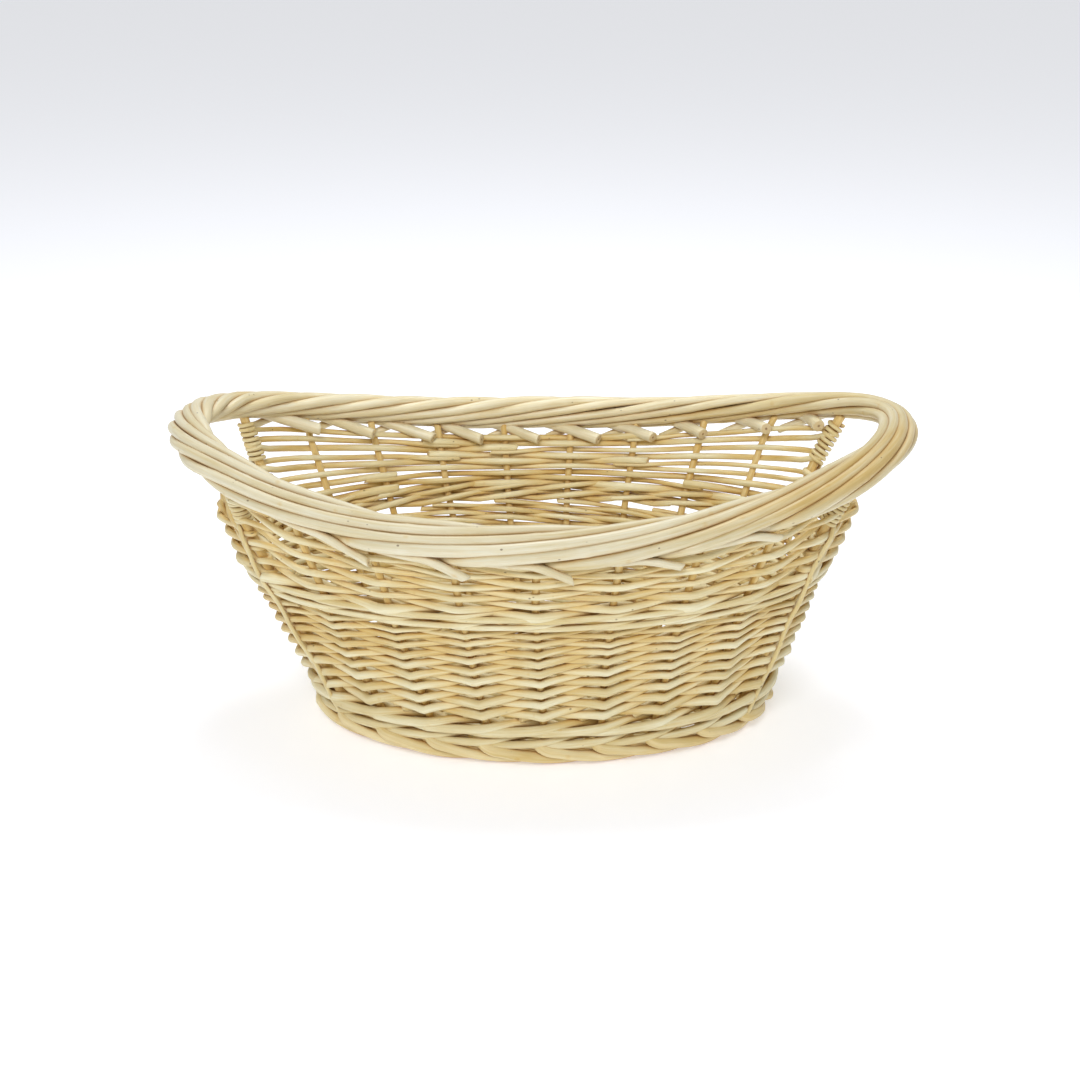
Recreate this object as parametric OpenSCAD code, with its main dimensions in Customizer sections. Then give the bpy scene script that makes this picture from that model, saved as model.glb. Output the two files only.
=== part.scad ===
// Oval flared willow basket with a hand-hole under each raised end of its rolled rim.
// The long axis lies on X, the base rests on z = 0 and the origin is the middle of the base.

/* [Overall] */
// Width over the rolled rim, along the long axis
overall_w = 486; // [400:5:560]
// Depth over the rolled rim, across the short axis
overall_d = 296; // [260:2:330]
// Height of the rim's centre line at the middle of the long sides
rim_mid_h = 163; // [150:1:190]
// How far the rim's centre line rises at the two ends
end_rise = 36; // [30:1:45]
// Width of the foot
foot_w = 292; // [260:2:330]

/* [Rolled rim] */
// Half of the long side of the rim bundle's oval section
bundle_long = 14; // [13:0.5:16]
// Half of the short side of the rim bundle's oval section
bundle_short = 9; // [9:0.25:11]
// Lean of the bundle's long side from the horizontal, at the middle of the long sides
lean_mid = 60; // [45:1:70]
// Lean of the bundle's long side at the two ends
lean_end = 18; // [10:1:35]
// Radius of a rim rod
rim_rod_r = 3.2; // [2.6:0.1:3.2]
// Number of rods side by side round the bundle
rim_lanes = 8; // [8:1:8]
// Degrees that the rim's rope turns in one stake space, along the back
twist_back = 50; // [50:1:50]
// The same at the left end
twist_left = 75; // [75:1:75]
// The same along the front
twist_front = 35; // [35:1:35]
// The same at the right end
twist_right = 30; // [30:1:30]

/* [Stakes and siding] */
// Number of stakes along the back, between its posts
back_count = 8; // [8:1:8]
// Number of stakes along the front, between its posts
front_count = 7; // [7:1:7]
// Way along the rim from the middle of a hand-hole to its back post, as a share of the circuit
back_share = 0.055; // [0.052:0.001:0.058]
// The same to its front post
front_share = 0.066; // [0.062:0.001:0.068]
// Radius of a stake
stake_r = 2.4; // [2:0.1:2.8]
// Radius of a hand-hole post
post_r = 3.2; // [2.8:0.1:3.6]
// Thickness of the woven wall
wall_t = 13; // [12:0.5:14]
// Top of the foot border and bottom of the first wale
foot_h = 12.5; // [10.5:0.5:13.5]
// Top of the wale that sets up the stakes
upsett_top = 32; // [28:0.5:34]
// Top of the close lower weave and bottom of the wale above it
lower_top = 104; // [95:1:110]
// Top of the wale in the middle of the wall
mid_wale_top = 117; // [113:1:121]
// Top of the weave under each hand-hole
end_weave_top = 151; // [140:1:153]

/* [Base] */
// Width of the ring of foot rods
foot_ring_w = 13; // [10:0.5:15]
// Underside of the woven base above the ground
base_z = 4; // [3:0.5:5]
// Thickness of the woven base
base_t = 8.4; // [8.2:0.2:9]
// Radius of a long base stick
long_stick_r = 2.5; // [2:0.1:2.6]
// Radius of a cross stick, which the long sticks pierce
cross_stick_r = 3.8; // [3.6:0.1:3.8]
// Number of cross sticks
cross_sticks = 7; // [5:2:7]
// Distance between cross sticks
cross_pitch = 28; // [24:1:30]

/* [Hidden] */
rim_rod_count = 15;

rim_circuit_turns = 3;
rod_steps_per_space = 3.4;
rod_sides = 8;
entry_turn = 283;
entry_shift = 1.1;
entry_clear = 0.9;
body_start = 0.12;
body_end = 0.62;
butt_space = 0.85;
butt_drop = 2;
butt_inset = 11.5;
butt_reach = 16;
butt_r = 3.8;
peg_space = 0.06;
peg_drop = 7;
peg_offset = 9.5;
peg_reach = 7;
peg_r = 2.3;
arm_steps = 3;
post_clear = 0.1;
twist_parts = 20;
siding_gap = 5;
gap = 0.3;
rise_power = 2.4;
even_2 = 10.2;
even_4 = 2.2;
post_gap = 7;
end_gap = 4;
wrap_turns = 8;
wrap_steps = 10;
wrap_r = 1.5;
wrap_sides = 5;
wrap_gap = 2;
short_stakes = 2;
short_stake_rise = 1;
channel_drop = 3;
long_stick_gap = 1.2;
stick_overlap = 1;
ring_gap = 2;
oval_sides = 96;
round_sides = 24;
outline_step = 6;
cut = 1;
steep = 0.9;
stick_z = base_z + base_t / 2;
long_stick_pitch = 2 * long_stick_r + long_stick_gap;

// The middle of the wall is an oval cone that widens upwards. Its foot is wall_a by wall_b, and
// its apex lies this far below the ground.
rim_end_h = rim_mid_h + end_rise;
rim_a = overall_w / 2 - norm([bundle_long * cos(lean_end), bundle_short * sin(lean_end)]);
rim_b = overall_d / 2 - norm([bundle_long * cos(lean_mid), bundle_short * sin(lean_mid)]);
wall_a = foot_w / 2 - wall_t / 2;
apex_depth = rim_end_h / (rim_a / wall_a - 1);
oval_ratio = rim_b / (wall_a * (1 + rim_mid_h / apex_depth));
wall_b = wall_a * oval_ratio;
foot_d = 2 * wall_b + wall_t;
base_a = foot_w / 2 - foot_ring_w - ring_gap;
base_b = foot_d / 2 - foot_ring_w - ring_gap;
willow = [0.90, 0.80, 0.56];
pale_willow = [0.93, 0.86, 0.68];
gold_willow = [0.84, 0.70, 0.42];

// --- The wall's geometry. Angle t runs anticlockwise from +X, seen from above. ---

function unit(v) = v / norm(v);

// Half-width of the wall's middle along X at height z.
function wall_a_at(z) = wall_a * (1 + z / apex_depth);

// Horizontal outward direction of the wall at angle t.
function out_dir(t) = unit([oval_ratio * cos(t), sin(t), 0]);

// Middle of the wall's thickness at height z, on the straight line of a stake, pushed outwards by d.
function wall_point(t, z, d = 0) =
  [wall_a_at(z) * cos(t), wall_a_at(z) * oval_ratio * sin(t), z] + out_dir(t) * d;

function rim_h(t) = rim_mid_h + end_rise * pow(abs(cos(t)), rise_power);

function rim_centre(t) = wall_point(t, rim_h(t));

// Lean of the bundle's section, and its half height there.
function lean(t) = lean_mid + (lean_end - lean_mid) * pow(cos(t), 2);

function bundle_half_h(t) =
  sqrt(pow(bundle_long * sin(lean(t)), 2) + pow(bundle_short * cos(lean(t)), 2));

// Height of the rim's underside, where the upper siding stops.
function rim_underside(t) = rim_h(t) - bundle_half_h(t) - gap;

// The bundle's long direction points inwards and up, its short direction outwards and up.
function long_dir(t) = [0, 0, sin(lean(t))] - out_dir(t) * cos(lean(t));

function short_dir(t) = [0, 0, cos(lean(t))] + out_dir(t) * sin(lean(t));

// Point on an oval of half-widths a and b round the rim's centre line, at angle p turning from
// outwards to up. The two correcting terms space equal steps of p evenly round the oval.
function bundle_point(t, a, b, p) =
  let (q = p - even_2 * sin(2 * p) + even_4 * sin(4 * p))
  rim_centre(t) + a * sin(q) * long_dir(t) + b * cos(q) * short_dir(t);

// 0 below low, 1 above high and a smooth step between.
function smooth(x, low, high) =
  let (u = min(max((x - low) / (high - low), 0), 1))
  u * u * (3 - 2 * u);

// Stakes are numbered anticlockwise from the hand-hole at +X, and each hand-hole has two.
back_right_post = 1;
back_left_post = back_right_post + back_count + 1;
front_left_post = back_left_post + short_stakes + 1;
front_right_post = front_left_post + front_count + 1;
stake_count = front_right_post + short_stakes;
right_short = [stake_count - 1, 0];
left_short = [back_left_post + 1, back_left_post + 2];
front_stakes = [for (k = [front_left_post + 1 : front_right_post - 1]) k];
back_stakes = [for (k = [back_right_post + 1 : back_left_post - 1]) k];

// Share of the circuit at the posts and at the middle of each hand-hole.
share_at = [
  [-0.5, 0],
  [back_right_post, back_share],
  [back_left_post, 0.5 - back_share],
  [back_left_post + 1.5, 0.5],
  [front_left_post, 0.5 + front_share],
  [front_right_post, 1 - front_share],
  [stake_count - 0.5, 1]
];

function rim_speed(t) = norm([sin(t), oval_ratio * cos(t)]);

arcs = [for (i = 0, s = 0; i <= 360; s = s + rim_speed(i + 0.5), i = i + 1) s];

// Angle of stake k, evenly spaced along the rim between posts. A fraction of k gives a place between
// stakes, and each full count of stakes adds a full circle.
function stake_angle(k) =
  let (circuits = floor((k + 0.5) / stake_count))
  let (want = lookup(k - circuits * stake_count, share_at) * arcs[360])
  let (i = max(len([for (a = arcs) if (a < want) a]) - 1, 0))
  360 * circuits + i + (want - arcs[i]) / (arcs[i + 1] - arcs[i]);

// --- Turning of the rim's rope ---

// Turning rate at place n, from the back right post at 1 once round to the same post.
function twist_rate(n) =
  twist_back
  + (twist_left - twist_back) * smooth(n, back_left_post - 0.5, back_left_post + 0.5)
  + (twist_front - twist_left) * smooth(n, front_left_post - 0.5, front_left_post + 0.5)
  + (twist_right - twist_front) * smooth(n, front_right_post - 0.5, front_right_post + 0.5)
  + (twist_back - twist_right) * smooth(n, stake_count + 0.5, stake_count + 1.5);

raw_twist = [
  for (i = 0, s = 0; i <= stake_count * twist_parts;
    s = s + twist_rate(back_right_post + (i + 0.5) / twist_parts) / twist_parts, i = i + 1) s
];
circuit_twist = rim_circuit_turns * 360;
twist_scale = circuit_twist / raw_twist[stake_count * twist_parts];
twist_at = [for (i = [0 : stake_count * twist_parts]) [i / twist_parts, raw_twist[i] * twist_scale]];
place_at = [for (pair = twist_at) [pair[1], pair[0]]];

// Degrees that the rope has turned at place n, in any circuit, and the place where it has turned so far.
function twist(n) =
  let (laps = floor((n - back_right_post) / stake_count))
  laps * circuit_twist + lookup(n - back_right_post - laps * stake_count, twist_at);

function place_of_twist(turn) =
  let (laps = floor(turn / circuit_twist))
  back_right_post + laps * stake_count + lookup(turn - laps * circuit_twist, place_at);

// Rods come in one lane apart, and none comes in over a hand-hole.
lane_turn = 360 / rim_lanes;
circuit_lanes = rim_lanes * rim_circuit_turns;

function lane_place(lane) = place_of_twist((lane + entry_shift) * lane_turn);

function on_a_side(n) =
  (n > back_right_post + entry_clear && n < back_left_post)
  || (n > front_left_post + entry_clear && n < front_right_post);

entries = [for (lane = [0 : circuit_lanes - 1]) if (on_a_side(lane_place(lane))) lane];

function is_entry(lane) = len([for (e = entries) if (e == lane % circuit_lanes) e]) > 0;

// The lane count at which a newer rod takes over this lane.
function takeover(lane) = is_entry(lane) ? lane : takeover(lane + rim_lanes);

// --- Building blocks ---

// Solid oval cone between heights low and high, whose side is the wall's middle pushed outwards by d.
module oval_cone(low, high, d) {
  middle = (low + high) / 2;
  a = wall_a_at(middle) + d;
  b = wall_a_at(middle) * oval_ratio + d;
  grow = wall_a / apex_depth * (high - low) / 2;
  translate([0, 0, low]) scale([1, b / a, 1])
    cylinder(h = high - low, r1 = a - grow, r2 = a + grow, $fn = oval_sides);
}

// Closed band of the wall between two heights.
module band(low, high) {
  difference() {
    oval_cone(low, high - gap, wall_t / 2);
    oval_cone(low - cut, high + cut, -wall_t / 2);
  }
}

// Upright wedge between the stake lines at t0 and t1, kept side_gap clear of both.
module wedge(t0, t1, side_gap) {
  reach = overall_w;
  function edge(t, turn) =
    let (way = unit([cos(t), oval_ratio * sin(t)]))
    [for (r = [0, reach]) r * way + side_gap * turn * [-way[1], way[0]]];
  middle = (t0 + t1) / 2;
  far = 2 * reach * unit([cos(middle), oval_ratio * sin(middle)]);
  e0 = edge(t0, 1);
  e1 = edge(t1, -1);
  linear_extrude(rim_end_h) polygon([e0[0], e0[1], far, e1[1], e1[0]]);
}

// Everything well below the underside of the rim, for cutting the siding to the rim's curve. The gap
// is where the rim rods pass from the inside to the outside.
module below_rim() {
  function top(t) = rim_underside(t) - siding_gap;
  half = [for (t = [0 : outline_step : 90]) [wall_point(t, top(t))[0], top(t)]];
  right = concat([[overall_w / 2, half[0][1]]], half);
  left = [for (i = [len(right) - 2 : -1 : 0]) [-right[i][0], right[i][1]]];
  outline = concat([[-overall_w / 2, 0], [overall_w / 2, 0]], right, left);
  translate([0, overall_d / 2, 0]) rotate([90, 0, 0]) linear_extrude(overall_d) polygon(outline);
}

// Capped tube along a list of centre points, with a radius for each point.
module tube(path, radii, sides) {
  n = len(path);
  points = [
    for (i = [0 : n - 1])
    let (along = unit(path[min(i + 1, n - 1)] - path[max(i - 1, 0)]))
    let (side = unit(cross(along, abs(along[2]) > steep ? [0, 1, 0] : [0, 0, 1])))
    let (up = cross(side, along))
    for (j = [0 : sides - 1])
    path[i] + radii[i] * (cos(360 * j / sides) * side + sin(360 * j / sides) * up)
  ];
  skin = [
    for (i = [0 : n - 2], j = [0 : sides - 1])
    let (a = i * sides + j)
    let (b = i * sides + (j + 1) % sides)
    each [[a, b, b + sides], [a, b + sides, a + sides]]
  ];
  first = [for (j = [0 : sides - 1]) sides - 1 - j];
  last = [for (j = [0 : sides - 1]) (n - 1) * sides + j];
  polyhedron(points, concat(skin, [first, last]));
}

// Straight round rod between two points.
module rod(p, q, r) {
  v = q - p;
  translate(p) rotate([0, acos(v[2] / norm(v)), atan2(v[1], v[0])])
    cylinder(r = r, h = norm(v), $fn = round_sides);
}

module oval(a, b) {
  polygon([for (i = [0 : oval_sides - 1]) [a * cos(360 * i / oval_sides), b * sin(360 * i / oval_sides)]]);
}

// --- Base ---

module base_long_sticks() {
  color(gold_willow)
  for (j = [-1 : 1]) {
    y = j * long_stick_pitch;
    reach = base_a * sqrt(1 - pow(y / base_b, 2)) + stick_overlap;
    rod([-reach, y, stick_z], [reach, y, stick_z], long_stick_r);
  }
}

module solid_cross_sticks() {
  for (i = [-(cross_sticks - 1) / 2 : (cross_sticks - 1) / 2]) {
    x = i * cross_pitch;
    reach = base_b * sqrt(1 - pow(x / base_a, 2)) + stick_overlap;
    rod([x, -reach, stick_z], [x, reach, stick_z], cross_stick_r);
  }
}

// The cross sticks are pierced, and the long sticks are threaded through them.
module base_cross_sticks() {
  color(gold_willow)
  difference() {
    solid_cross_sticks();
    base_long_sticks();
  }
}

module base_weave() {
  color(willow)
  difference() {
    translate([0, 0, base_z]) linear_extrude(base_t) oval(base_a, base_b);
    solid_cross_sticks();
    base_long_sticks();
  }
}

module foot_border() {
  color(gold_willow)
  linear_extrude(foot_h - gap)
  difference() {
    oval(foot_w / 2, foot_d / 2);
    oval(foot_w / 2 - foot_ring_w, foot_d / 2 - foot_ring_w);
  }
}

// --- Stakes and posts ---

// Stakes start on the foot border and stop at height top, or under the rim when top is 0.
module stake(k, r, top) {
  t = stake_angle(k);
  rod(wall_point(t, foot_h), wall_point(t, top > 0 ? top : rim_underside(t) - gap), r);
}

module stakes(list, r, top) {
  for (k = list) stake(k, r, top);
}

module side_stakes_front() {
  color(pale_willow) stakes(front_stakes, stake_r, 0);
}

module side_stakes_back() {
  color(pale_willow) stakes(back_stakes, stake_r, 0);
}

module end_stakes_left() {
  color(pale_willow) stakes(left_short, stake_r, end_weave_top + short_stake_rise);
}

module end_stakes_right() {
  color(pale_willow) stakes(right_short, stake_r, end_weave_top + short_stake_rise);
}

module post(k) {
  color(pale_willow) stake(k, post_r, 0);
}

// A thin rod lies on the outside of the wall beside a post, and its tip is wound round the bare part
// of the post, from the end weave up to the rim.
module post_wrap(k) {
  t = stake_angle(k);
  low = wall_point(t, end_weave_top + wrap_r + wrap_gap);
  high = wall_point(t, rim_underside(t) - wrap_r - wrap_gap);
  along = unit(high - low);
  side = unit(cross(along, [0, 1, 0]));
  across = cross(side, along);
  coil_r = post_r + wrap_r;
  path = [
    for (i = [0 : wrap_turns * wrap_steps])
    let (a = 360 * i / wrap_steps)
    low + (high - low) * i / (wrap_turns * wrap_steps) + coil_r * (cos(a) * side + sin(a) * across)
  ];
  tail_d = wall_t / 2 + wrap_r + gap;
  color(willow) {
    tube(path, [for (p = path) wrap_r], wrap_sides);
    rod(wall_point(t, foot_h + gap, tail_d), wall_point(t, end_weave_top, tail_d), wrap_r);
  }
}

// --- Woven bands ---

// Channel that a stake or post runs in, longer than the woven wall is high.
module channels(list, r) {
  for (k = list) {
    t = stake_angle(k);
    rod(wall_point(t, foot_h - channel_drop), wall_point(t, rim_end_h), r);
  }
}

module woven_band(low, high) {
  difference() {
    band(low, high);
    channels(concat(front_stakes, back_stakes, left_short, right_short), stake_r);
    channels([back_right_post, back_left_post, front_left_post, front_right_post], post_r);
  }
}

module upsett_wale() {
  color(willow) woven_band(foot_h, upsett_top);
}

module lower_siding() {
  color(willow) woven_band(upsett_top, lower_top);
}

module mid_wale_lower() {
  color(pale_willow) woven_band(lower_top, (lower_top + mid_wale_top) / 2);
}

module mid_wale_upper() {
  color(pale_willow) woven_band((lower_top + mid_wale_top) / 2, mid_wale_top);
}

// The upper weave on a long side rises to the rim and ends where it turns back round the posts.
module upper_panel(k0, k1, list) {
  difference() {
    intersection() {
      band(mid_wale_top, rim_end_h);
      wedge(stake_angle(k0), stake_angle(k1), post_gap);
      below_rim();
    }
    channels(list, stake_r);
  }
}

module upper_siding_front() {
  color(willow) upper_panel(front_left_post, front_right_post, front_stakes);
}

module upper_siding_back() {
  color(willow) upper_panel(back_right_post, back_left_post, back_stakes);
}

// The weave under a hand-hole fills the space between the posts on both sides of it.
module end_panel(t0, t1, list) {
  difference() {
    intersection() {
      band(mid_wale_top, end_weave_top);
      wedge(t0, t1, end_gap);
    }
    channels(list, stake_r);
  }
}

module end_siding_left() {
  color(willow) end_panel(stake_angle(back_left_post), stake_angle(front_left_post), left_short);
}

module end_siding_right() {
  color(willow) end_panel(stake_angle(front_right_post) - 360, stake_angle(back_right_post), right_short);
}

// --- Rolled rim ---

// Cut end of a rim rod at place n, below the rim by drop and d outwards from the wall's middle.
function cut_end(n, drop, d) =
  let (t = stake_angle(n))
  wall_point(t, rim_underside(t) - drop, d);

// Points from a free end to just before a joint, nearly straight and arriving along way.
function arm(end, joint, way, reach) =
  let (control = joint + unit(way) * reach)
  [
    for (i = [0 : arm_steps])
    let (u = i / (arm_steps + 1))
    end * pow(1 - u, 2) + control * 2 * u * (1 - u) + joint * u * u
  ];

function reversed(list) = [for (i = [len(list) - 1 : -1 : 0]) list[i]];

// Rim rod k starts as a cut butt inside the wall, passes under the bundle to the outside and winds
// round it in its lane. Where a newer rod takes over the lane, it ends outside as a short cut peg.
module rim_rod(k) {
  lane = entries[k - 1];
  start = lane_place(lane);
  end = lane_place(takeover(lane + rim_lanes));
  end_lap = floor(end / stake_count) * stake_count;
  post_before = start < back_left_post ? back_right_post : front_left_post;
  post_after = end_lap + (end - end_lap < back_left_post ? back_left_post : front_right_post);
  butt_n = max(start - butt_space, post_before + post_clear);
  peg_n = min(end - peg_space, post_after - post_clear);
  n0 = start + body_start;
  n1 = end - body_end;
  steps = round((n1 - n0) * rod_steps_per_space);
  body = [
    for (i = [0 : steps])
    let (n = n0 + (n1 - n0) * i / steps)
    let (p = entry_turn + twist(n) - twist(start))
    bundle_point(stake_angle(n), bundle_long - rim_rod_r, bundle_short - rim_rod_r, p)
  ];
  butt_arm = arm(cut_end(butt_n, butt_drop, -butt_inset), body[0], body[0] - body[1], butt_reach);
  peg_way = body[steps] - body[steps - 1];
  peg_arm = arm(cut_end(peg_n, peg_drop, peg_offset), body[steps], peg_way, peg_reach);
  path = concat(butt_arm, body, reversed(peg_arm));
  radii = concat(
    [for (p = butt_arm) butt_r],
    [for (p = body) rim_rod_r],
    [for (i = [1 : len(peg_arm)]) rim_rod_r + (peg_r - rim_rod_r) * i / len(peg_arm)]
  );
  color(k % 2 == 0 ? pale_willow : willow) tube(path, radii, rod_sides);
}

base_long_sticks();
base_cross_sticks();
base_weave();
foot_border();
upsett_wale();
side_stakes_front();
side_stakes_back();
end_stakes_left();
end_stakes_right();
lower_siding();
mid_wale_lower();
mid_wale_upper();
upper_siding_front();
upper_siding_back();
end_siding_left();
end_siding_right();
post(back_right_post);  // post_back_right
post(back_left_post);  // post_back_left
post(front_left_post);  // post_front_left
post(front_right_post);  // post_front_right
post_wrap(back_right_post);  // post_wrap_back_right
post_wrap(back_left_post);  // post_wrap_back_left
post_wrap(front_left_post);  // post_wrap_front_left
post_wrap(front_right_post);  // post_wrap_front_right
for (k = [1 : rim_rod_count]) {
  rim_rod(k);
}
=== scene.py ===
"""Looks of a woven willow basket, built rod by rod round its CAD frame.

Every rod is a swept tube with cut ends. Its line is given in wall coordinates: n counts stake
spaces anticlockwise round the wall, z is the height, and d is the offset outwards from the
middle of the woven wall. All lengths are in metres.
"""

import math
import random

import bpy
import numpy as np
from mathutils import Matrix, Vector


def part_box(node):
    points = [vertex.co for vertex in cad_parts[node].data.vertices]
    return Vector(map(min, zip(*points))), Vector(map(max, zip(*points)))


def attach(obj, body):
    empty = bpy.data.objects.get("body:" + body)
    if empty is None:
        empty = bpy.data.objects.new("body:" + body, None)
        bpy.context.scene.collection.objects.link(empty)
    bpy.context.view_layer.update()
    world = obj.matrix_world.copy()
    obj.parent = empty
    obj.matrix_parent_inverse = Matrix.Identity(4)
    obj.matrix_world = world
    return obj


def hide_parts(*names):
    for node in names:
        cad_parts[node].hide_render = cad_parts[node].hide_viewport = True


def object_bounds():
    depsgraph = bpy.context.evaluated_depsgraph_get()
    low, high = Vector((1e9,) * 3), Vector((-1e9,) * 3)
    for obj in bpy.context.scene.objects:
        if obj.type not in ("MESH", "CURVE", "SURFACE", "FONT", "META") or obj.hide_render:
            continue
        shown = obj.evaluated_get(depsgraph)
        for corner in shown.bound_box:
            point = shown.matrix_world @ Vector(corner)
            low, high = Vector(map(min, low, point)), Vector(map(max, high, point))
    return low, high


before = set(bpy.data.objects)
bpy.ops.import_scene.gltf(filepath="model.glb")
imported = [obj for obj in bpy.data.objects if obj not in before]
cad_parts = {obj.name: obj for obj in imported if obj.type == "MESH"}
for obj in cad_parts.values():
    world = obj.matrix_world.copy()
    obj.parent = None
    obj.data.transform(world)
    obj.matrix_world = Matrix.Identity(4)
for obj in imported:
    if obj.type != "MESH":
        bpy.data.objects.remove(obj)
CAD_LOW, CAD_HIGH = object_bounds()

MM = 0.001

# --- Sizes of the frame ---

# Stake places are counted anticlockwise from the right end. A share is the part of the circuit
# between a back or front post and the middle of its hand-hole.
STAKES = 23
POSTS = {"back_right": 1, "back_left": 10, "front_left": 13, "front_right": 21}
FIRST_POST = POSTS["back_right"]
RIGHT_MIDDLE = -0.5
LEFT_MIDDLE = (POSTS["back_left"] + POSTS["front_left"]) / 2
BACK_SHARE = 0.055
FRONT_SHARE = 0.066
WALL_T = 13 * MM
STAKE_R = 2.35 * MM
POST_R = 3.2 * MM

# The wall stands a little to the left under the rim. The heights are where this starts, is
# full, starts to fade and ends.
SWAY = 4.5 * MM
SWAY_STARTS, SWAY_FULL, SWAY_FADES, SWAY_ENDS = 20 * MM, 120 * MM, 155 * MM, 195 * MM

# The rim: a bundle with an oval section that leans outwards, of rods in lanes like a rope.
END_RISE = 36 * MM
RISE_POWER = 2.4
BUNDLE_LONG = 14 * MM
BUNDLE_SHORT = 9 * MM
LEAN_MID = math.radians(60)
LEAN_END = math.radians(18)
RIM_LANES = 8
RIM_TURNS = 3
LANE_TURN = 360 / RIM_LANES
TWIST = {"back": 50, "left": 75, "front": 35, "right": 30}
TWIST_BLEND = 0.5

# A rim rod's radii, from its butt to its peg. LANE_R is how far its middle lies inside the
# bundle's surface.
BUTT_R = 3.8 * MM
BODY_R = 3.35 * MM
TAIL_R = 2.8 * MM
PEG_R = 2.5 * MM
LANE_R = 3.4 * MM

# Where a rod joins the bundle: degrees round the section, and lanes past each whole lane.
ENTRY_TURN = 283
ENTRY_SHIFT = 1.1

# Along the rim, in stake spaces: its body starts and ends this far inside its run, its butt is
# this far before the start and its peg this far before the end. No butt or peg is nearer to a
# post than POST_GAP, and no rod joins nearer after a hand-hole's post than HOLE_GAP.
BODY_START = 0.12
BODY_END = 0.62
BUTT_SPACE = 0.85
PEG_SPACE = 0.06
POST_GAP = 0.1
HOLE_GAP = 0.9

# The butts inside and the pegs outside: how far below the rim, how far from the wall's middle,
# and how wide the bend is that joins them to the bundle.
BUTT_DROP = 2.0 * MM
BUTT_INSET = 11.5 * MM
BUTT_REACH = 16 * MM
PEG_DROP = 7.0 * MM
PEG_OFFSET = 9.5 * MM
PEG_REACH = 5 * MM

FOOT_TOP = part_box("upsett_wale")[0].z
UPSETT_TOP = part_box("upsett_wale")[1].z
LOWER_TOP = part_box("mid_wale_lower")[0].z
MID_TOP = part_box("mid_wale_upper")[1].z
END_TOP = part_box("end_siding_left")[1].z


def wall_widths(node):
    """Height of a band's top, and the half-widths of the wall's middle there."""
    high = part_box(node)[1]
    return high.z, high.x - WALL_T / 2, high.y - WALL_T / 2


Z_LOW, A_LOW, B_LOW = wall_widths("upsett_wale")
Z_HIGH, A_HIGH, B_HIGH = wall_widths("mid_wale_upper")
FLARE = (A_HIGH - A_LOW) / (Z_HIGH - Z_LOW)
OVAL_RATIO = (B_LOW / A_LOW + B_HIGH / A_HIGH) / 2
LEAN_END_HALF_H = math.hypot(BUNDLE_LONG * math.sin(LEAN_END), BUNDLE_SHORT * math.cos(LEAN_END))
RIM_MID_H = CAD_HIGH.z - LEAN_END_HALF_H - END_RISE


# --- Small helpers ---


def smooth(x, low, high):
    u = np.clip((np.asarray(x, float) - low) / (high - low), 0, 1)
    return u * u * (3 - 2 * u)


def curve_through(x, xs, ys):
    """Smooth curve through the points (xs, ys), read at x."""
    xs, ys = np.asarray(xs, float), np.asarray(ys, float)
    slope = np.gradient(ys, xs)
    i = np.clip(np.searchsorted(xs, x) - 1, 0, len(xs) - 2)
    step = xs[i + 1] - xs[i]
    u = np.clip((x - xs[i]) / step, 0, 1)
    return (
        ys[i] * (1 + 2 * u) * (1 - u) ** 2
        + slope[i] * step * u * (1 - u) ** 2
        + ys[i + 1] * u * u * (3 - 2 * u)
        + slope[i + 1] * step * u * u * (u - 1)
    )


def wander(rng, x, spacing, size):
    """Smooth random value along x, with a new value every spacing."""
    x = np.asarray(x, float)
    start = math.floor(x.min() / spacing) - 1
    count = math.ceil((x.max() - x.min()) / spacing) + 4
    knots = (start + np.arange(count)) * spacing
    return curve_through(x, knots, [rng.uniform(-size, size) for _ in knots])


def rounded(x, xs, ys, width, samples=9):
    """Straight lines through the points (xs, ys), with their corners rounded over width."""
    shifts = np.linspace(-width, width, samples)
    return np.mean([np.interp(x + shift, xs, ys) for shift in shifts], axis=0)


def pinched(x, power=0.78, width=0.018, shoulder=0.12):
    """Wave of period 2 that bends sharply at odd x, where it is -1, and gently at even x, where
    it is 1. The bend is rounded over width, and shoulder slims the wave beside its top."""
    away = np.abs((np.asarray(x, float) % 2) - 1)
    rounded_away = np.sqrt(away**2 + width**2) - width
    smooth_top = np.minimum(rounded_away, 1) ** power
    return -1 + 2 * (smooth_top - shoulder * np.sin(np.pi * away) ** 2 * away)


# --- The wall ---


def wall_a(z):
    """Half the length of the wall's oval at height z."""
    return A_LOW + FLARE * (z - Z_LOW)


def circuit_table():
    """Length along the rim's oval at each degree, as a share of the whole circuit."""
    t = np.radians(np.arange(360) + 0.5)
    speed = np.hypot(np.sin(t), OVAL_RATIO * np.cos(t))
    length = np.concatenate([[0], np.cumsum(speed)])
    return length / length[-1]


CIRCUIT = circuit_table()


# Places of the posts and of the middle of each hand-hole, and their shares of the circuit.
PLACE_KEYS = [RIGHT_MIDDLE, POSTS["back_right"], POSTS["back_left"], LEFT_MIDDLE,
              POSTS["front_left"], POSTS["front_right"], RIGHT_MIDDLE + STAKES]
SHARE_KEYS = [0, BACK_SHARE, 0.5 - BACK_SHARE, 0.5, 0.5 + FRONT_SHARE, 1 - FRONT_SHARE, 1]


def angle(n):
    """Angle of place n on the wall. Stake k stands at n = k."""
    n = np.asarray(n, float)
    turns = np.floor((n - RIGHT_MIDDLE) / STAKES)
    share = np.interp(n - turns * STAKES, PLACE_KEYS, SHARE_KEYS)
    return 2 * np.pi * (turns + np.interp(share, CIRCUIT, np.arange(361)) / 360)


def out_dir(t):
    """Level direction straight out of the wall at angle t."""
    x, y = OVAL_RATIO * np.cos(t), np.sin(t)
    size = np.hypot(x, y)
    return np.stack([x / size, y / size, np.zeros_like(size)], -1)


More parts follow.
